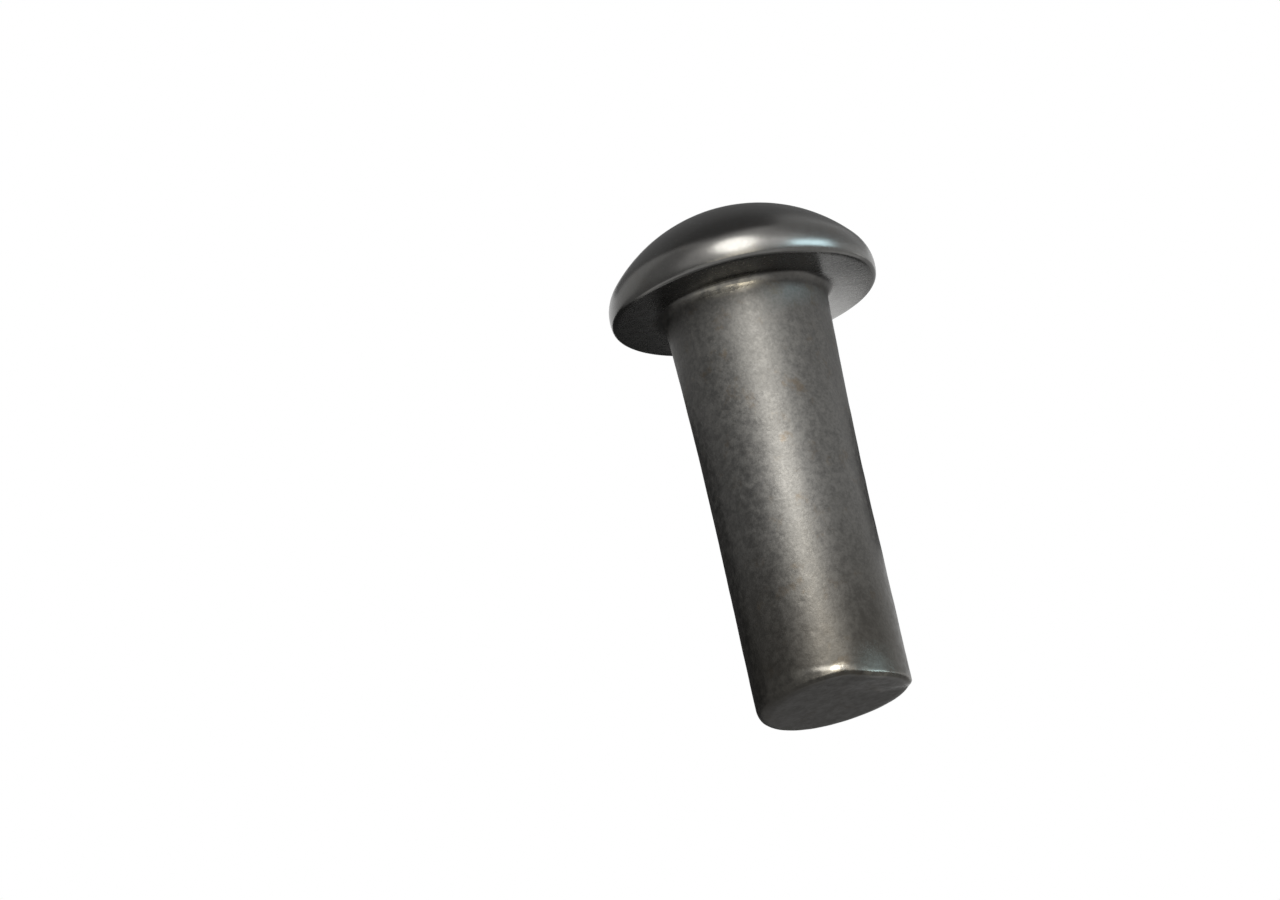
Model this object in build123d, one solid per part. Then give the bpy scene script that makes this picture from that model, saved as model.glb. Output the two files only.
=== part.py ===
from build123d import *
import math
import os

# Round head rivet: one solid piece of steel, headed at one end from a cut length of bar.
# It stands on its tail. The origin is the centre of the tail face, and +Z runs up the axis to
# the crown of the head. All sizes are in millimetres.

# Driving dimensions: the shank
shank_diameter = 8.0      # of the straight stretch, which the rivet is named by
shank_length = 22.0       # from the tail face to the bearing face under the head
swell_length = 13.0       # stretch below the head where heading has thickened the bar
neck_swell = 0.30         # what the shank gains on its radius over that stretch
neck_fillet = 0.4         # inside corner between the neck and the bearing face
tail_edge_radius = 0.7    # rubbed-down edge of the cut end

# Driving dimensions: the head
head_diameter = 14.0      # over the rim, its widest line
head_height = 5.0         # from the bearing face to the crown
rim_height = 0.6          # from the bearing face to the rim
flank_radius = 2.0        # bulging side of the head, from its edge over the rim to the dome
flank_edge_radius = 0.15  # between the bearing face and the flank

# The half section lies to the right of the axis. Its arcs run into each other and into its
# straight lines without corners, and angles are in degrees, anticlockwise from +X.
RIGHT = 0
UP = 90
LEFT = 180
DOWN = -90

# The shank's swell is one large arc that leaves the straight stretch upright. The neck's fillet
# touches it from inside, and touches the bearing face.
shank_radius = shank_diameter / 2
swell_start_z = shank_length - swell_length
swell_radius = (swell_length**2 + neck_swell**2) / (2 * neck_swell)
swell_centre_x = shank_radius + swell_radius
swell_turn = math.degrees(math.asin((swell_length - neck_fillet) / (swell_radius - neck_fillet)))
fillet_centre_x = swell_centre_x - (swell_radius - neck_fillet) * math.cos(math.radians(swell_turn))

# The flank's bottom edge touches the bearing face, and touches the flank from inside. The dome is
# the sphere that has its crown on the axis and that the flank touches from inside.
rim_z = shank_length + rim_height
crown_z = shank_length + head_height
flank_centre_x = head_diameter / 2 - flank_radius
flank_start = -math.degrees(math.asin((rim_height - flank_edge_radius) / (flank_radius - flank_edge_radius)))
edge_centre_x = flank_centre_x + (flank_radius - flank_edge_radius) * math.cos(math.radians(flank_start))
crown_over_rim = head_height - rim_height
dome_radius = (
    (flank_centre_x**2 + crown_over_rim**2 - flank_radius**2)
    / (2 * (crown_over_rim - flank_radius))
)
dome_centre_z = crown_z - dome_radius
flank_end = math.degrees(math.atan2(rim_z - dome_centre_z, flank_centre_x))


def draw_arc(centre, radius, start, end):
    """Draw the arc about centre that runs from the start angle to the end angle."""
    CenterArc(centre, radius, start_angle=start, arc_size=end - start)


def draw_shank_side():
    """Draw the side from the centre of the tail, round its edge and up to the neck's fillet."""
    Line((0, 0), (shank_radius - tail_edge_radius, 0))
    draw_arc((shank_radius - tail_edge_radius, tail_edge_radius), tail_edge_radius, DOWN, RIGHT)
    Line((shank_radius, tail_edge_radius), (shank_radius, swell_start_z))
    draw_arc((swell_centre_x, swell_start_z), swell_radius, LEFT, LEFT - swell_turn)
    draw_arc((fillet_centre_x, shank_length - neck_fillet), neck_fillet, LEFT - swell_turn, UP)


def draw_head_side():
    """Draw the side out along the bearing face, round its edge, up the flank and over the dome."""
    Line((fillet_centre_x, shank_length), (edge_centre_x, shank_length))
    draw_arc((edge_centre_x, shank_length + flank_edge_radius), flank_edge_radius, DOWN, flank_start)
    draw_arc((flank_centre_x, rim_z), flank_radius, flank_start, flank_end)
    draw_arc((0, dome_centre_z), dome_radius, flank_end, UP)


def make_rivet():
    """Turn the half section once round the axis."""
    with BuildPart() as body:
        with BuildSketch(Plane.XZ):
            with BuildLine():
                draw_shank_side()
                draw_head_side()
                Line((0, crown_z), (0, 0))
            make_face()
        revolve(axis=Axis.Z)
    return body.part


rivet = make_rivet()
rivet.label = "rivet"

os.makedirs("parts", exist_ok=True)
export_step(rivet, "parts/rivet.step")
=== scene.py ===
"""Round head rivet: its steel surface, and the floor, lights and camera that show it.

The rivet is one solid piece, so the scene has one piece of its own. It is turned from the same
section as the solid that it stands for, and then gets the small unevenness of a cold headed rivet
under mill scale. Sizes are in millimetres and are made metres where a mesh or a light is built.
"""

import logging
import math
from dataclasses import dataclass, field
from enum import Enum

import bmesh
import bpy
from mathutils import Matrix, Vector, noise

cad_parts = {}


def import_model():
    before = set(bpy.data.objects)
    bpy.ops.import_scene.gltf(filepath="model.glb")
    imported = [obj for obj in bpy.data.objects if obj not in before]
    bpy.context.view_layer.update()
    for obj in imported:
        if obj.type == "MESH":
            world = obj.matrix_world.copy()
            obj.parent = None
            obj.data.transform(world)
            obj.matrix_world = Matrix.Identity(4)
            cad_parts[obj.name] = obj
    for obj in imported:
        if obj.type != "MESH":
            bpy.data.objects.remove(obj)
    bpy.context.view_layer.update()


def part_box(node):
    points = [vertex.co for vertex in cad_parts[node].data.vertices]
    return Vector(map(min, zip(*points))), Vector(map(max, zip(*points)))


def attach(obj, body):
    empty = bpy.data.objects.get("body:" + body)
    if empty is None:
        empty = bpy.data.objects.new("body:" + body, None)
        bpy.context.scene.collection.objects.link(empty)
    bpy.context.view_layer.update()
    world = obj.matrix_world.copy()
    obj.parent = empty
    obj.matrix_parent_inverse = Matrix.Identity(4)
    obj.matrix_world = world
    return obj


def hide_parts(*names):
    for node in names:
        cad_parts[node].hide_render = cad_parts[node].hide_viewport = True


LOG = logging.getLogger("rivet")

MM = 0.001
FULL_TURN = 2 * math.pi
UP = Vector((0.0, 0.0, 1.0))
MERGE_DISTANCE = 1e-7
CARD_CELLS = 16

# The uneven surface is the sum of noises. Each is read at a height of its own, so that no two have
# their highs in one place. The lumps' noise has a roughness, a step from each layer to the next
# finer one, and a number of layers.
DENT_SHIFT = UP * 7.3
PIT_SHIFT = UP * 31.7
PATCH_SHIFT = UP * 13.1
LUMP_LAYERS = (0.8, 2.0, 3)


class Node(Enum):
    """The frame's node and material slot that the scene works on."""

    RIVET = "rivet"
    STEEL_SLOT = "dark_steel"


def to_mm(corner: Vector) -> tuple[float, float, float]:
    """Return a corner, given in metres, in millimetres."""
    return (corner[0] / MM, corner[1] / MM, corner[2] / MM)


def aim(azimuth: float, elevation: float) -> Vector:
    """Return the unit vector that points from the rivet towards a place round it.

    Args:
        azimuth: Degrees from the front of the rivet, growing to its right.
        elevation: Degrees above the level of the floor.

    Returns:
        The direction in the rivet's frame, in which the front is -Y and the right is +X.
    """
    turn, lift = math.radians(azimuth), math.radians(elevation)
    return Vector((math.sin(turn) * math.cos(lift), -math.cos(turn) * math.cos(lift), math.sin(lift)))


def rise(value: float, low: float, high: float) -> float:
    """Return a smooth step that goes from 0 at low to 1 at high."""
    share = min(1.0, max(0.0, (value - low) / (high - low)))
    return share * share * (3.0 - 2.0 * share)


def look_back(direction: Vector) -> Matrix:
    """Return the turn that makes an object at the end of direction face the rivet."""
    return direction.to_track_quat("Z", "Y").to_matrix().to_4x4()


class Shader:
    """A node tree under construction, with short calls for the nodes that finishes are made of."""

    def __init__(self, tree: bpy.types.NodeTree) -> None:
        """Empty the tree and keep it."""
        self.tree = tree
        tree.nodes.clear()

    def add(self, kind: str, **settings: object) -> bpy.types.Node:
        """Add a node and set its properties.

        Args:
            kind: The node's type name without its ShaderNode prefix.
            settings: Properties of the node by name.

        Returns:
            The new node.
        """
        node = self.tree.nodes.new("ShaderNode" + kind)
        for name, value in settings.items():
            setattr(node, name, value)
        return node

    def feed(self, socket: bpy.types.NodeSocket, value: object) -> None:
        """Link value to the socket if it is a socket, and otherwise set it there."""
        if isinstance(value, bpy.types.NodeSocket):
            self.tree.links.new(value, socket)
        elif isinstance(value, tuple) and len(value) == 3 and socket.type == "RGBA":
            socket.default_value = (*value, 1.0)
        else:
            socket.default_value = value

    def math(self, operation: str, first: object, second: object = 0.0) -> bpy.types.NodeSocket:
        """Return the result of a Math node."""
        node = self.add("Math", operation=operation)
        self.feed(node.inputs[0], first)
        self.feed(node.inputs[1], second)
        return node.outputs[0]

    def span(self, value: object, low: float, high: float, out_low: float = 0.0,
             out_high: float = 1.0) -> bpy.types.NodeSocket:
        """Return value mapped smoothly from low..high to out_low..out_high, held at the ends."""
        node = self.add("MapRange", interpolation_type="SMOOTHSTEP")
        for name, given in (("Value", value), ("From Min", low), ("From Max", high),
                            ("To Min", out_low), ("To Max", out_high)):
            self.feed(node.inputs[name], given)
        return node.outputs["Result"]

    def level(self, share: object, first: object, second: object) -> bpy.types.NodeSocket:
        """Return a number that goes from first to second as share goes from 0 to 1."""
        node = self.add("Mix", data_type="FLOAT", clamp_factor=True)
        self.feed(node.inputs[0], share)
        self.feed(node.inputs[2], first)
        self.feed(node.inputs[3], second)
        return node.outputs[0]

    def blend(self, share: object, first: object, second: object) -> bpy.types.NodeSocket:
        """Return a colour that goes from first to second as share goes from 0 to 1."""
        node = self.add("Mix", data_type="RGBA", clamp_factor=True)
        self.feed(node.inputs[0], share)
        self.feed(node.inputs[6], first)
        self.feed(node.inputs[7], second)
        return node.outputs[2]

    def millimetres(self, stretch: tuple[float, float, float] = (1.0, 1.0, 1.0)) -> bpy.types.NodeSocket:
        """Return the place on the piece in millimetres, with each axis times its stretch."""
        place = self.add("TexCoord")
        mapping = self.add("Mapping")
        mapping.inputs["Scale"].default_value = tuple(part / MM for part in stretch)
        self.feed(mapping.inputs["Vector"], place.outputs["Object"])
        return mapping.outputs["Vector"]

    def cloud(self, place: bpy.types.NodeSocket, grain: float, detail: float = 3.0,
              harshness: float = 0.55) -> bpy.types.NodeSocket:
        """Return cloudy noise from 0 to 1.

        Args:
            place: Where the noise is read, in millimetres.
            grain: The size of its blotches in millimetres.
            detail: How many finer layers lie over the blotches.
            harshness: How strong each finer layer is beside the one before.

        Returns:
            The noise's value socket.
        """
        node = self.add("TexNoise", noise_dimensions="3D")
        self.feed(node.inputs["Vector"], place)
        node.inputs["Scale"].default_value = 1.0 / grain
        node.inputs["Detail"].default_value = detail
        node.inputs["Roughness"].default_value = harshness
        return node.outputs["Fac"]


@dataclass(frozen=True)
class SteelZone:
    """What the steel's colour, gloss and relief all read, as sockets of its node tree."""

    height: bpy.types.NodeSocket
    over_seat: bpy.types.NodeSocket
    on_head: bpy.types.NodeSocket
    mottle: bpy.types.NodeSocket
    grain: bpy.types.NodeSocket
    rub_and_glint: bpy.types.NodeSocket


@dataclass(frozen=True)
class MillScaleSteel:
    """Cold headed steel under thin dark scale, oiled, and rubbed bright along its edges, with painted
    highlights on the rubbed spots and painted shade in the corner under the head.

    Sizes are in millimetres. What is called a blend gives two heights over the bearing face.
    """

    name: str = "dark_mill_scale"
    scale_dark: tuple[float, float, float] = (0.096, 0.094, 0.090)
    scale_light: tuple[float, float, float] = (0.148, 0.145, 0.138)
    scale_even: tuple[float, float, float] = (0.122, 0.120, 0.115)
    rust_tint: tuple[float, float, float] = (0.112, 0.092, 0.070)
    # Warm like the low lamps: the rubbed spots are bare steel that also carries painted highlights.
    rubbed: tuple[float, float, float] = (0.235, 0.222, 0.190)
    tail_shade: tuple[float, float, float] = (0.030, 0.025, 0.017)
    shank_roughness: float = 0.40
    neck_roughness: float = 0.50
    seat_roughness: float = 0.15
    head_roughness: float = 0.27
    rubbed_roughness: float = 0.20
    shank_relief: float = 0.72
    head_relief: float = 0.06
    tail_darkness: float = 0.60
    # How dark the painted shade in the corner under the head is.
    neck_darkness: float = 0.3
    tail_darkens_below: float = 12.0
    tail_darkest_below: float = 0.5

    patch_size: float = 2.6
    mottle_size: float = 0.42
    grain_size: float = 0.16
    speckle_harshness: float = 0.6
    patch_share: float = 0.2
    mottle_share: float = 0.4
    grain_share: float = 0.4
    tone_range: tuple[float, float] = (0.36, 0.64)
    rust_size: float = 1.4
    rust_harshness: float = 0.7
    rust_range: tuple[float, float] = (0.56, 0.72)
    rust_strength: float = 0.7
    head_evenness: float = 0.75
    rub_patches: tuple[float, float] = (0.35, 0.60)
    rub_least: float = 0.35
    head_blend: tuple[float, float] = (-0.3, 0.2)
    flank_blend: tuple[float, float] = (0.02, 0.3)
    neck_blend: tuple[float, float] = (-13.0, -1.0)
    mottle_range: tuple[float, float] = (0.3, 0.7)
    mottle_roughness: tuple[float, float] = (-0.05, 0.08)
    mottle_relief: float = 0.55
    grain_relief: float = 0.45
    relief_depth: float = 0.02

    def tint(self, shader: Shader, place: bpy.types.NodeSocket, zone: SteelZone) -> bpy.types.NodeSocket:
        """Return the colour: speckled scale with rusty patches, rubbed spots with painted highlights,
        painted shade in the corner under the head, and a dark tail.

        Args:
            shader: The node tree under construction.
            place: The place on the piece, in millimetres.
            zone: What the colour, the gloss and the relief share.

        Returns:
            The colour's socket.
        """
        patches = shader.cloud(place, grain=self.patch_size)
        speckle = shader.math("ADD", shader.math("MULTIPLY", zone.mottle, self.mottle_share),
                              shader.math("MULTIPLY", zone.grain, self.grain_share))
        tone = shader.math("ADD", shader.math("MULTIPLY", patches, self.patch_share), speckle)
        colour = shader.blend(shader.span(tone, *self.tone_range), self.scale_dark, self.scale_light)
        rust = shader.cloud(place, grain=self.rust_size, detail=4.0, harshness=self.rust_harshness)
        rust = shader.span(rust, *self.rust_range, 0.0, self.rust_strength)
        colour = shader.blend(rust, colour, self.rust_tint)
        even = shader.math("MULTIPLY", zone.on_head, self.head_evenness)
        colour = shader.blend(even, colour, self.scale_even)
        spots = shader.span(zone.mottle, *self.rub_patches, self.rub_least, 1.0)
        # Rubbed spots: bare steel, with painted highlights where they sit at the glints.
        colour = shader.blend(shader.math("MULTIPLY", zone.rub_and_glint, spots), colour, self.rubbed)
        # Painted shade: the corner under the head is darkened, less where it is rubbed.
        corner_shade = shader.add("Attribute", attribute_name="corner_shade").outputs["Fac"]
        corner_shade = shader.math("MULTIPLY", corner_shade, shader.math("SUBTRACT", self.neck_darkness, zone.rub_and_glint))
        colour = shader.blend(corner_shade, colour, self.tail_shade)
        fade = shader.span(zone.height, self.tail_darkest_below, self.tail_darkens_below,
                           self.tail_darkness, 0.0)
        fade = shader.math("MULTIPLY", fade, shader.math("SUBTRACT", 1.0, zone.rub_and_glint))
        return shader.blend(fade, colour, self.tail_shade)

    def gloss(self, shader: Shader, zone: SteelZone) -> bpy.types.NodeSocket:
        """Return the roughness: satin on the shank, duller at the neck and smoother on the head."""
        shank = shader.span(zone.over_seat, *self.neck_blend, self.shank_roughness, self.neck_roughness)
        uneven = shader.span(zone.mottle, *self.mottle_range, *self.mottle_roughness)
        shank = shader.math("ADD", shank, uneven)
        head = shader.span(zone.over_seat, *self.flank_blend, self.seat_roughness, self.head_roughness)
        return shader.level(zone.rub_and_glint, shader.level(zone.on_head, shank, head), self.rubbed_roughness)

    def relief(self, shader: Shader, zone: SteelZone) -> bpy.types.NodeSocket:
        """Return the normal: the fine unevenness of scale, nearly flat on the head."""
        depth = shader.math("ADD", shader.math("MULTIPLY", zone.mottle, self.mottle_relief),
                            shader.math("MULTIPLY", zone.grain, self.grain_relief))
        bump = shader.add("Bump")
        bump.inputs["Distance"].default_value = self.relief_depth * MM
        strength = shader.level(zone.on_head, self.shank_relief, self.head_relief)
        shader.feed(bump.inputs["Strength"], strength)
        shader.feed(bump.inputs["Height"], depth)
        return bump.outputs["Normal"]

    def make(self, head_starts: float) -> bpy.types.Material:
        """Build the finish.

        Args:
            head_starts: Height of the bearing face, in millimetres. The head is smoother.

        Returns:
            The finished material.
        """
        material = bpy.data.materials.new(self.name)
        material.use_nodes = True
        shader = Shader(material.node_tree)
        place = shader.millimetres()
        split = shader.add("SeparateXYZ")
        shader.feed(split.inputs[0], place)
        over_seat = shader.math("SUBTRACT", split.outputs["Z"], head_starts)
        zone = SteelZone(
            height=split.outputs["Z"],
            over_seat=over_seat,
            on_head=shader.span(over_seat, *self.head_blend),
            mottle=shader.cloud(place, grain=self.mottle_size, harshness=self.speckle_harshness),
            grain=shader.cloud(place, grain=self.grain_size, harshness=self.speckle_harshness),
            rub_and_glint=shader.add("Attribute", attribute_name="rub_and_glint").outputs["Fac"],
        )
        steel = shader.add("BsdfPrincipled")
        steel.inputs["Metallic"].default_value = 1.0
        shader.feed(steel.inputs["Base Color"], self.tint(shader, place, zone))
        shader.feed(steel.inputs["Roughness"], self.gloss(shader, zone))
        shader.feed(steel.inputs["Normal"], self.relief(shader, zone))
        shader.feed(shader.add("OutputMaterial").inputs["Surface"], steel.outputs["BSDF"])
        return material


class SectionPen:
    """Draws the half section of a turned piece as a chain of edges in the XZ plane."""

    def __init__(self, mesh: bmesh.types.BMesh, start: tuple[float, float]) -> None:
        """Put the first point at (radius, height) in millimetres."""
        self.mesh = mesh
        self.tip = mesh.verts.new((start[0] * MM, 0.0, start[1] * MM))

    def line(self, end: tuple[float, float], pitch: float) -> None:
        """Draw a straight stretch.

        Args:
            end: Radius and height of its far end, in millimetres.
            pitch: Longest edge that it is made of, in millimetres.
        """
        way = Vector((end[0] * MM, 0.0, end[1] * MM)) - self.tip.co
        steps = max(1, math.ceil(way.length / (pitch * MM)))
        for _ in range(steps):
            made = bmesh.ops.extrude_vert_indiv(self.mesh, verts=[self.tip])
            self.tip = made["verts"][0]
            bmesh.ops.translate(self.mesh, vec=way / steps, verts=[self.tip])

    def arc(self, centre: tuple[float, float], turn: float, pitch: float) -> None:
        """Draw a round stretch.

        Args:
            centre: Radius and height of its centre, in millimetres.
            turn: Degrees that it turns, anticlockwise where radius runs right and height up.
            pitch: Longest edge that it is made of, in millimetres.
        """
        middle = Vector((centre[0] * MM, 0.0, centre[1] * MM))
        length = abs(math.radians(turn)) * (self.tip.co - middle).length
        made = bmesh.ops.spin(self.mesh, geom=[self.tip], cent=middle, axis=(0.0, -1.0, 0.0),
                              dvec=(0.0, 0.0, 0.0), angle=math.radians(turn),
                              steps=max(2, math.ceil(length / (pitch * MM))), use_merge=False)
        self.tip = next(item for item in made["geom_last"] if isinstance(item, bmesh.types.BMVert))


@dataclass(frozen=True)
class GlintRub:
    """A spot rubbed bright that also carries a painted highlight: an oval round an azimuth and a height
    of the turned form.
    """

    azimuth: float
    height: float
    half_angle: float
    half_height: float
    core: float = 0.35

    def share(self, place: Vector) -> float:
        """Return how bright the spot is rubbed at a place in millimetres, from 0 to 1."""
        turned = math.degrees(math.atan2(place.x, -place.y)) - self.azimuth
        across = ((turned + 180.0) % 360.0 - 180.0) / self.half_angle
        along = (place.z - self.height) / self.half_height
        return 1.0 - rise(math.hypot(across, along), self.core, 1.0)


@dataclass
class Rivet:
    """The rivet's surface: a turned skin with the dents, pits and rubbed edges of the real one, painted
    highlights on its rubbed spots and painted shade in the corner under its head.

    Lengths are in millimetres and azimuths in degrees, as aim takes them. What is called a spread
    or a share has no unit.
    """

    # The turned form
    head_diameter: float
    overall_length: float
    shank_diameter: float = 8.0
    swell_length: float = 13.0
    neck_swell: float = 0.30
    neck_fillet: float = 0.4
    tail_edge_radius: float = 0.7
    tail_sharp_radius: float = 0.22
    head_height: float = 5.0
    rim_height: float = 0.6
    flank_radius: float = 2.0
    flank_edge_radius: float = 0.28

    # How fine the mesh is: on the section, which is finer at the tail's edge, and round the axis
    pitch: float = 0.115
    fine_up_to: float = 0.98
    dome_pitch: float = 0.161
    turn_steps: int = 300

    # Lumps, dents and pits, which heading has mostly pressed out at the bearing face and on the head
    lump_size: float = 2.4
    lump_depth: float = 0.020
    dent_size: float = 0.75
    dent_depth: float = 0.012
    pit_size: float = 0.42
    pit_depth: float = 0.08
    pit_threshold: float = 0.42
    pressed_reach: float = 1.5
    pressed_lumps: float = 0.6
    pressed_dents: float = 0.95

    # The tail's sheared end: its burr, its slant, and its sharp side with the lip
    burr_height: float = 0.040
    burr_width: float = 0.30
    burr_start: float = -0.07
    burr_climb: float = 1.15
    burr_runs_out: float = 5.0
    burr_rolled_in: float = 0.09
    burr_rolled_out: tuple[float, float] = (0.12, 0.42)
    cut_azimuth: float = 50.0
    cut_slant: float = 0.72
    cut_reach: float = 5.0
    sharp_azimuth: float = 60.0
    sharp_spread: tuple[float, float] = (0.06, 1.9)
    lip_azimuth: float = 58.0
    lip_drop: float = 0.34
    lip_spread: float = 0.66
    lip_root: float = 0.3

    # Where it is rubbed bright and carries painted highlights, and where painted shade darkens the
    # corner under the head
    # The tail's edge is rubbed, with a painted highlight line along it.
    edge_rub_and_glint: float = 0.1
    sharp_rub_and_glint: float = 0.35
    worn_width: float = 0.1
    # Spots placed where the lamps glint, on the tail's edge and the front of the neck: rubbed steel with
    # painted highlights.
    tail_glint_rub: GlintRub = GlintRub(azimuth=8.5, height=0.42, half_angle=11.0, half_height=0.33)
    burr_glint_rub: GlintRub = GlintRub(azimuth=38.0, height=0.09, half_angle=20.0, half_height=0.20)
    neck_glint_rub: GlintRub = GlintRub(azimuth=-9.0, height=21.68, half_angle=36.0, half_height=0.54)
    # How far the painted shade under the head reaches, and how much faster it fades down the shank.
    corner_shade_reach: float = 0.7
    corner_shade_squash: float = 1.4
    finish: MillScaleSteel = field(default_factory=MillScaleSteel)

    @property
    def shank_length(self) -> float:
        """Height of the bearing face over the tail face."""
        return self.overall_length - self.head_height

    @property
    def shank_radius(self) -> float:
        """Radius of the straight stretch."""
        return self.shank_diameter / 2

    @property
    def rim_radius(self) -> float:
        """Radius of the head over its rim."""
        return self.head_diameter / 2

    def draw_shank(self, pen: SectionPen) -> None:
        """Draw the section from the tail's centre to the bearing face."""
        pen.line((self.shank_radius - self.tail_edge_radius, 0.0), self.pitch * 2)
        pen.line((self.shank_radius - self.tail_sharp_radius, 0.0), self.pitch)
        pen.arc((self.shank_radius - self.tail_sharp_radius, self.tail_sharp_radius), 90.0,
                self.pitch / 3)
        pen.line((self.shank_radius, self.fine_up_to), self.pitch / 3)
        pen.line((self.shank_radius, self.shank_length - self.swell_length), self.pitch)
        swell_radius = (self.swell_length**2 + self.neck_swell**2) / (2 * self.neck_swell)
        turn = math.asin((self.swell_length - self.neck_fillet) / (swell_radius - self.neck_fillet))
        centre = self.shank_radius + swell_radius
        pen.arc((centre, self.shank_length - self.swell_length), -math.degrees(turn), self.pitch)
        fillet_centre = centre - (swell_radius - self.neck_fillet) * math.cos(turn)
        pen.arc((fillet_centre, self.shank_length - self.neck_fillet), math.degrees(turn) - 90.0,
                self.pitch)

    def draw_head(self, pen: SectionPen) -> None:
        """Draw the section from the neck out to the flank, round it and over the dome to the crown."""
        flank_centre = self.rim_radius - self.flank_radius
        rim = self.shank_length + self.rim_height
        inner = self.flank_radius - self.flank_edge_radius
        start = math.asin((self.rim_height - self.flank_edge_radius) / inner)
        edge_centre = flank_centre + inner * math.cos(start)
        over_rim = self.head_height - self.rim_height
        dome = flank_centre**2 + over_rim**2 - self.flank_radius**2
        dome /= 2 * (over_rim - self.flank_radius)
        dome_centre = self.overall_length - dome
        end = math.atan2(rim - dome_centre, flank_centre)
        pen.line((edge_centre, self.shank_length), self.pitch * 2)
        pen.arc((edge_centre, self.shank_length + self.flank_edge_radius), 90.0 - math.degrees(start),
                self.pitch / 2)
        pen.arc((flank_centre, rim), math.degrees(start + end), self.pitch)
        pen.arc((0.0, dome_centre), 90.0 - math.degrees(end), self.dome_pitch)

    def facing(self, place: Vector, azimuth: float) -> float:
        """Return the cosine of the angle, seen along the axis, between a place and an azimuth."""
        radius = max(math.hypot(place.x, place.y), self.pitch)
        return aim(azimuth, 0.0).to_2d().dot(place.to_2d()) / radius

    def rolled(self, place: Vector) -> float:
        """Return how far the shear rolled the tail's edge over at a place, from 0 to 1."""
        return rise(1.0 - self.facing(place, self.sharp_azimuth), *self.sharp_spread)

    def burr_starts(self, place: Vector) -> float:
        """Return the height in millimetres at which the edge's small burr stands out most."""
        return self.burr_start + self.burr_climb * math.sqrt(self.rolled(place))

    def sheared(self, place: Vector) -> Vector:
        """Return where the shear left a point of the turned form, in millimetres.

        The shear rolled the edge over on one side and left it sharp on the other, with a lip that
        hangs down. It also cut askew, so that one side is a little short.
        """
        radius = math.hypot(place.x, place.y)
        middle = self.shank_radius - self.tail_edge_radius
        out, down = radius - middle, self.tail_edge_radius - place.z
        moved = place.copy()
        if out > 0.0 and down > 0.0:
            reach = math.hypot(out, down)
            pull = self.rolled(place) * max(0.0, reach - self.tail_edge_radius)
            moved.z += pull * down / reach
            share = 1.0 - pull * out / reach / radius
            moved.x *= share
            moved.y *= share
        across = self.facing(place, self.cut_azimuth) * radius / self.shank_radius
        slant = self.cut_slant * (1.0 + across) / 2
        lip = self.lip_drop * rise(self.facing(place, self.lip_azimuth), self.lip_spread, 1.0)
        slant -= lip * rise(radius, self.shank_radius * self.lip_root, self.shank_radius)
        moved.z += slant * (1.0 - rise(place.z, self.tail_sharp_radius, self.cut_reach))
        return moved

    def depth(self, place: Vector) -> float:
        """Return how far the surface lies below its nominal form.

        Args:
            place: A point of the nominal form, in millimetres.

        Returns:
            The depth in millimetres, which is never negative.
        """
        lump = 0.5 + 0.5 * noise.fractal(place / self.lump_size, *LUMP_LAYERS)
        dent = 0.5 + 0.5 * noise.noise(place / self.dent_size + DENT_SHIFT)
        pit = max(0.0, noise.noise(place / self.pit_size + PIT_SHIFT) - self.pit_threshold)
        patch = max(0.0, noise.noise(place / self.lump_size + PATCH_SHIFT))
        pressed = rise(place.z, self.shank_length - self.pressed_reach, self.shank_length)
        lump *= self.lump_depth * (1.0 - self.pressed_lumps * pressed)
        fine = dent * self.dent_depth + pit * patch * self.pit_depth
        fine *= 1.0 - self.pressed_dents * pressed
        start = self.burr_starts(place)
        rolled = self.rolled(place)
        burr = self.burr_height * rise(place.z, start, start + self.burr_width)
        burr *= 1.0 - rise(place.z, start + self.burr_width, self.burr_runs_out)
        burr *= rise(rolled, 0.0, self.burr_rolled_in) * (1.0 - rise(rolled, *self.burr_rolled_out))
        return lump + fine + burr

    def rub_and_glint(self, place: Vector) -> float:
        """Return how bright the surface is rubbed at a place in millimetres, from 0 to 1, with painted
        highlights in the spots at the tail's edge and the front of the neck.
        """
        radius = math.hypot(place.x, place.y)
        sharp = 1.0 - self.rolled(place)
        outer = rise(radius, self.shank_radius - self.tail_edge_radius,
                     self.shank_radius - self.worn_width)
        crest = self.burr_starts(place) + self.burr_width / 2
        edge = (self.edge_rub_and_glint + self.sharp_rub_and_glint * sharp) * outer
        edge *= 1.0 - rise(place.z, crest, crest + self.burr_width)
        corner = self.shank_radius + self.neck_swell + self.neck_fillet
        under = rise(corner - radius, 0.0, self.neck_fillet / 2)
        return max(edge, self.tail_glint_rub.share(place) * outer, self.burr_glint_rub.share(place) * outer,
                   self.neck_glint_rub.share(place) * under)

    def corner_shade(self, place: Vector) -> float:
        """Return how much painted shade darkens the corner under the head at a place, from 0 to 1."""
        out = math.hypot(place.x, place.y) - self.shank_radius - self.neck_swell
        below = max(0.0, self.shank_length - place.z) * self.corner_shade_squash
        reach = math.hypot(max(0.0, out), below)
        return 1.0 - rise(reach, self.neck_fillet / 2, self.corner_shade_reach)

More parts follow.
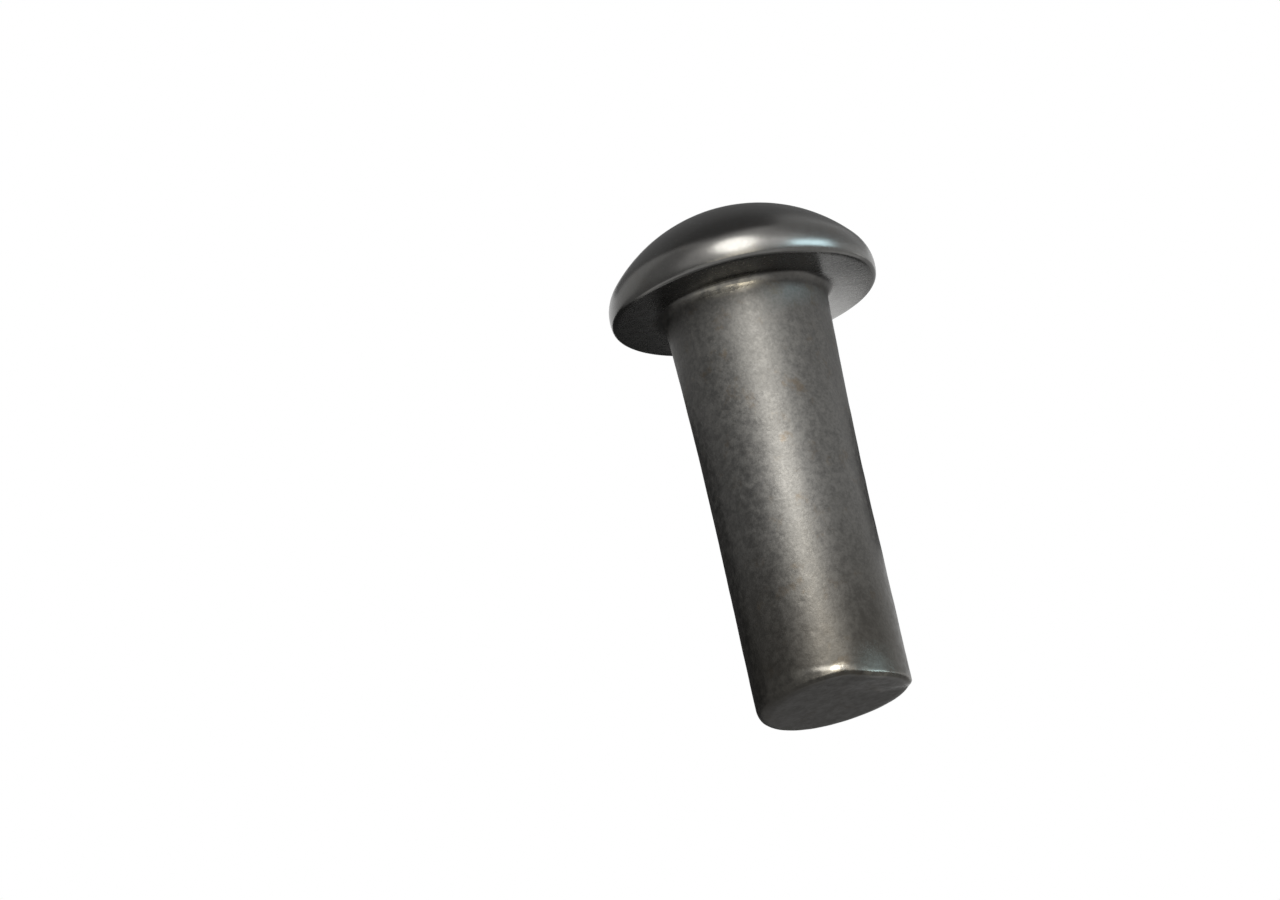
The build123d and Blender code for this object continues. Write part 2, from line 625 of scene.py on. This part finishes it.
    def make(self) -> bpy.types.Object:
        """Build the skin, dress it and set it in place of the frame's solid.

        Returns:
            The finished piece.
        """
        mesh = bmesh.new()
        pen = SectionPen(mesh, (0.0, 0.0))
        self.draw_shank(pen)
        self.draw_head(pen)
        bmesh.ops.spin(mesh, geom=mesh.verts[:] + mesh.edges[:], cent=(0.0, 0.0, 0.0), axis=UP,
                       dvec=(0.0, 0.0, 0.0), angle=FULL_TURN, steps=self.turn_steps, use_merge=True)
        bmesh.ops.remove_doubles(mesh, verts=mesh.verts[:], dist=MERGE_DISTANCE)
        bmesh.ops.recalc_face_normals(mesh, faces=mesh.faces[:])
        mesh.normal_update()
        rub_glint_layer = mesh.verts.layers.float.new("rub_and_glint")
        shaded_layer = mesh.verts.layers.float.new("corner_shade")
        for vert in mesh.verts:
            place = vert.co / MM
            vert[rub_glint_layer] = self.rub_and_glint(place)
            vert[shaded_layer] = self.corner_shade(place)
            vert.co = (self.sheared(place) - vert.normal * self.depth(place)) * MM
        for face in mesh.faces:
            face.smooth = True
        data = bpy.data.meshes.new("rivet_skin")
        mesh.to_mesh(data)
        mesh.free()
        data.materials.append(self.finish.make(self.shank_length))
        piece = bpy.data.objects.new("rivet_skin", data)
        bpy.context.collection.objects.link(piece)
        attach(piece, "root")
        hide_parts(Node.RIVET.value)
        LOG.info("rivet_skin: %d vertices, %d faces", len(data.vertices), len(data.polygons))
        return piece


@dataclass
class Floor:
    """A plain pale sheet round the foot of the rivet, which can be looked through from below."""

    foot_radius: float = 13.0
    foot_fade: float = 6.5
    fade_starts: float = 64.0
    clear_radius: float = 160.0
    outer_radius: float = 400.0
    segments: int = 128
    colour: tuple[float, float, float] = (0.86, 0.86, 0.86)

    def make(self) -> bpy.types.Object:
        """Build the floor as a flat disc that fades out into the white round it.

        Returns:
            The floor.
        """
        mesh = bmesh.new()
        bmesh.ops.create_circle(mesh, cap_ends=True, radius=self.outer_radius * MM,
                                segments=self.segments)
        mesh.normal_update()
        bmesh.ops.reverse_faces(mesh, faces=[face for face in mesh.faces if face.normal.z < 0.0])
        data = bpy.data.meshes.new("floor")
        mesh.to_mesh(data)
        mesh.free()
        data.materials.append(self.make_material())
        floor = bpy.data.objects.new("floor", data)
        bpy.context.collection.objects.link(floor)
        return floor

    def make_material(self) -> bpy.types.Material:
        """Return the matt pale finish, which is clear from below and towards its outer edge.

        The steel mirrors it as white, like the room round it, and looks through it beside the foot,
        where the rounded tail edge would otherwise mirror the dark gap under itself.
        """
        material = bpy.data.materials.new("pale_floor")
        material.use_nodes = True
        shader = Shader(material.node_tree)
        reach = shader.add("VectorMath", operation="LENGTH")
        shader.feed(reach.inputs[0], shader.millimetres())
        far = shader.span(reach.outputs["Value"], self.fade_starts, self.clear_radius)
        near = shader.span(reach.outputs["Value"], self.foot_radius, self.foot_radius + self.foot_fade,
                           1.0, 0.0)
        mirrored = shader.add("LightPath").outputs["Is Glossy Ray"]
        below = shader.add("NewGeometry").outputs["Backfacing"]
        clear = shader.math("MAXIMUM", far, shader.math("MULTIPLY", near, mirrored))
        clear = shader.math("MAXIMUM", below, clear)
        matt = shader.add("BsdfDiffuse")
        shader.feed(matt.inputs["Color"], self.colour)
        white = shader.add("Emission")
        shader.feed(white.inputs["Color"], (1.0, 1.0, 1.0))
        solid = shader.add("MixShader")
        shader.feed(solid.inputs[0], mirrored)
        shader.feed(solid.inputs[1], matt.outputs["BSDF"])
        shader.feed(solid.inputs[2], white.outputs[0])
        mix = shader.add("MixShader")
        shader.feed(mix.inputs[0], clear)
        shader.feed(mix.inputs[1], solid.outputs[0])
        shader.feed(mix.inputs[2], shader.add("BsdfTransparent").outputs["BSDF"])
        shader.feed(shader.add("OutputMaterial").inputs["Surface"], mix.outputs[0])
        return material


@dataclass
class Softbox:
    """A lamp with a flat oval face turned to the rivet."""

    name: str
    azimuth: float
    elevation: float
    width: float
    height: float
    radiance: float
    colour: tuple[float, float, float] = (1.0, 1.0, 1.0)
    distance: float = 220.0

    def make(self, target: Vector) -> bpy.types.Object:
        """Build the lamp.

        Args:
            target: The point in metres that the lamp faces.

        Returns:
            The lamp's object.
        """
        data = bpy.data.lights.new(self.name, type="AREA")
        data.shape = "ELLIPSE"
        data.size = self.width * MM
        data.size_y = self.height * MM
        face = math.pi / 4 * data.size * data.size_y
        data.energy = self.radiance * math.pi * face
        data.color = self.colour
        lamp = bpy.data.objects.new(self.name, data)
        direction = aim(self.azimuth, self.elevation)
        place = Matrix.Translation(target + direction * self.distance * MM)
        lamp.matrix_world = place @ look_back(direction)
        lamp.visible_camera = False
        bpy.context.collection.objects.link(lamp)
        return lamp


@dataclass
class Card:
    """A plain glowing card that only shows as a reflection in the steel.

    A card with a bottom and a top stands upright between those two heights, and its distance is
    taken level from the axis. Any other card hangs at its elevation and is turned to the rivet.
    Its edges are soft over a share of its half width and half height.
    """

    name: str
    azimuth: float
    width: float
    level: float
    distance: float = 300.0
    elevation: float = 0.0
    height: float = 0.0
    bottom: float = 0.0
    top: float = 0.0
    tint: tuple[float, float, float] = (1.0, 1.0, 1.0)
    softness: float = 0.0

    def place(self, target: Vector) -> tuple[Matrix, float]:
        """Return the card's place and turn in metres, and its height in millimetres."""
        if self.top > self.bottom:
            direction = aim(self.azimuth, 0.0)
            middle = direction * self.distance * MM + UP * (self.bottom + self.top) / 2 * MM
            return Matrix.Translation(middle) @ look_back(direction), self.top - self.bottom
        direction = aim(self.azimuth, self.elevation)
        middle = target + direction * self.distance * MM
        return Matrix.Translation(middle) @ look_back(direction), self.height

    def make(self, target: Vector) -> bpy.types.Object:
        """Build the card.

        Args:
            target: The point in metres that a hanging card faces.

        Returns:
            The card.
        """
        place, height = self.place(target)
        mesh = bmesh.new()
        bmesh.ops.create_grid(mesh, x_segments=CARD_CELLS, y_segments=CARD_CELLS, size=0.5)
        solid = mesh.verts.layers.float.new("solid")
        for vert in mesh.verts:
            inside = 1.0 - 2.0 * max(abs(vert.co.x), abs(vert.co.y))
            vert[solid] = rise(inside, 0.0, self.softness) if self.softness > 0.0 else 1.0
        bmesh.ops.scale(mesh, vec=(self.width * MM, height * MM, 1.0), verts=mesh.verts[:])
        bmesh.ops.transform(mesh, matrix=place, verts=mesh.verts[:])
        data = bpy.data.meshes.new(self.name)
        mesh.to_mesh(data)
        mesh.free()
        data.materials.append(self.make_material())
        card = bpy.data.objects.new(self.name, data)
        bpy.context.collection.objects.link(card)
        card.visible_camera = False
        card.visible_diffuse = False
        card.visible_shadow = False
        card.visible_transmission = False
        return card

    def make_material(self) -> bpy.types.Material:
        """Return the card's even glow, which fades to clear where the card isn't solid."""
        material = bpy.data.materials.new(self.name)
        material.use_nodes = True
        material.cycles.emission_sampling = "NONE"
        shader = Shader(material.node_tree)
        glow = shader.add("Emission")
        shader.feed(glow.inputs["Color"], self.tint)
        shader.feed(glow.inputs["Strength"], self.level)
        mix = shader.add("MixShader")
        shader.feed(mix.inputs[0], shader.add("Attribute", attribute_name="solid").outputs["Fac"])
        shader.feed(mix.inputs[1], shader.add("BsdfTransparent").outputs["BSDF"])
        shader.feed(mix.inputs[2], glow.outputs[0])
        shader.feed(shader.add("OutputMaterial").inputs["Surface"], mix.outputs[0])
        return material


@dataclass
class Studio:
    """The light round the rivet: a white room, lamps, and cards for the steel to mirror.

    The upright cards stand close round it, as other rivets would in a heap, and give the shank and
    the bearing face their darks. The others are further off, and colour or shade the room's white.
    """

    ambient: float = 0.38
    lamps: list[Softbox] = field(default_factory=lambda: [
        Softbox("window", azimuth=3.0, elevation=33.0, width=120.0, height=160.0, radiance=9.4,
                colour=(1.0, 0.985, 0.95)),
        Softbox("window_low", azimuth=7.0, elevation=5.0, width=85.0, height=85.0, radiance=3.3,
                colour=(1.0, 0.92, 0.76)),
    ])
    cards: list[Card] = field(default_factory=lambda: [
        Card("cool_side", azimuth=68.0, elevation=11.0, width=140.0, height=82.0, level=9.5,
             distance=220.0, tint=(0.68, 0.91, 1.0)),
        Card("between", azimuth=34.0, elevation=24.0, width=130.0, height=90.0, level=2.2,
             distance=225.0),
        Card("card_behind", azimuth=-165.0, elevation=56.0, width=560.0, height=290.0, level=0.20),
        Card("card_left_front", azimuth=-71.0, elevation=26.0, width=270.0, height=460.0, level=0.43,
             distance=290.0, softness=0.2),
        Card("low_left", azimuth=-45.0, elevation=-2.0, width=190.0, height=90.0, level=0.38,
             distance=220.0, softness=0.4),
        Card("card_left", azimuth=-95.0, elevation=33.0, width=440.0, height=360.0, level=0.72),
        Card("card_over", azimuth=-150.0, elevation=84.0, width=340.0, height=340.0, level=0.12,
             softness=0.5),
        Card("card_right", azimuth=112.0, elevation=47.0, width=390.0, height=280.0, level=0.59),
        Card("card_under", azimuth=0.0, elevation=-90.0, width=1200.0, height=1200.0, level=0.37,
             distance=30.0),
        Card("flag_right", azimuth=63.0, width=11.4, level=0.81, distance=11.9, bottom=2.7,
             top=22.95),
        Card("block_right", azimuth=136.7, width=10.0, level=0.10, distance=11.7, bottom=10.0, top=18.0),
        Card("glow_right", azimuth=160.5, width=6.4, level=1.9, distance=11.3, bottom=17.5, top=23.0,
             softness=0.8),
        Card("shade_right", azimuth=128.0, width=12.5, level=0.50, distance=12.5, bottom=17.0, top=24.0,
             softness=0.35),
        Card("low_right", azimuth=114.0, elevation=3.0, width=130.0, height=50.0, level=1.8,
             distance=220.0, softness=0.5),
        Card("low_front", azimuth=-10.0, elevation=-12.0, width=80.0, height=70.0, level=11.0,
             distance=220.0, tint=(1.0, 0.93, 0.80), softness=0.5),
        Card("block_left", azimuth=-85.0, width=60.0, level=0.33, distance=32.0, bottom=-5.0, top=28.0),
        Card("block_back", azimuth=-139.0, width=30.0, level=0.05, distance=21.3, bottom=-5.0, top=25.0),
    ])

    def make_world(self) -> None:
        """Make the room white where it is seen or mirrored, and plain as a light."""
        world = bpy.data.worlds.new("white_room")
        bpy.context.scene.world = world
        world.use_nodes = True
        shader = Shader(world.node_tree)
        ray = shader.add("LightPath")
        seen = shader.math("MAXIMUM", ray.outputs["Is Camera Ray"], ray.outputs["Is Glossy Ray"])
        seen = shader.math("MAXIMUM", seen, ray.outputs["Is Transmission Ray"])
        room = shader.add("Background")
        shader.feed(room.inputs["Color"], (1.0, 1.0, 1.0))
        shader.feed(room.inputs["Strength"], shader.span(seen, 0.0, 1.0, self.ambient, 1.0))
        shader.feed(shader.add("OutputWorld").inputs["Surface"], room.outputs[0])

    def make(self, target: Vector) -> None:
        """Build the room, the lamps and the cards round target, a point in metres."""
        self.make_world()
        for lamp in self.lamps:
            lamp.make(target)
            LOG.info("lamp %s", lamp.name)
        for card in self.cards:
            card.make(target)
            LOG.info("card %s", card.name)


@dataclass
class Viewpoint:
    """The camera, which looks up at the rivet's tail and the underside of its head."""

    elevation: float = -17.24
    roll: float = 12.81
    distance: float = 240.0
    lens: float = 132.9
    aim_left: float = 1.822
    aim_up: float = 0.660
    target_height: float = 11.0
    nearest: float = 10.0
    farthest: float = 10000.0

    def make(self) -> bpy.types.Object:
        """Build the camera and make it the scene's own.

        Returns:
            The camera's object.
        """
        data = bpy.data.cameras.new("camera")
        data.lens = self.lens
        data.clip_start = self.nearest * MM
        data.clip_end = self.farthest * MM
        camera = bpy.data.objects.new("camera", data)
        direction = aim(0.0, self.elevation)
        place = UP * self.target_height * MM + direction * self.distance * MM
        swing = Matrix.Rotation(math.radians(self.aim_left), 4, "Y")
        nod = Matrix.Rotation(math.radians(self.aim_up), 4, "X")
        roll = Matrix.Rotation(math.radians(-self.roll), 4, "Z")
        camera.matrix_world = Matrix.Translation(place) @ look_back(direction) @ roll @ swing @ nod
        bpy.context.collection.objects.link(camera)
        bpy.context.scene.camera = camera
        return camera


def main() -> None:
    """Load the frame, read the rivet's sizes from it, and build the rivet's surface and its
    surroundings.
    """
    logging.basicConfig(level=logging.INFO, format="%(name)s: %(message)s")
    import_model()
    low, high = (to_mm(corner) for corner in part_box(Node.RIVET.value))
    rivet = Rivet(head_diameter=high[0] - low[0], overall_length=high[2] - low[2])
    rivet.make()
    Floor().make()
    Studio().make(UP * rivet.shank_length / 2 * MM)
    Viewpoint().make()
    scene = bpy.context.scene
    scene.view_settings.view_transform = "Standard"


if __name__ == "__main__":
    main()
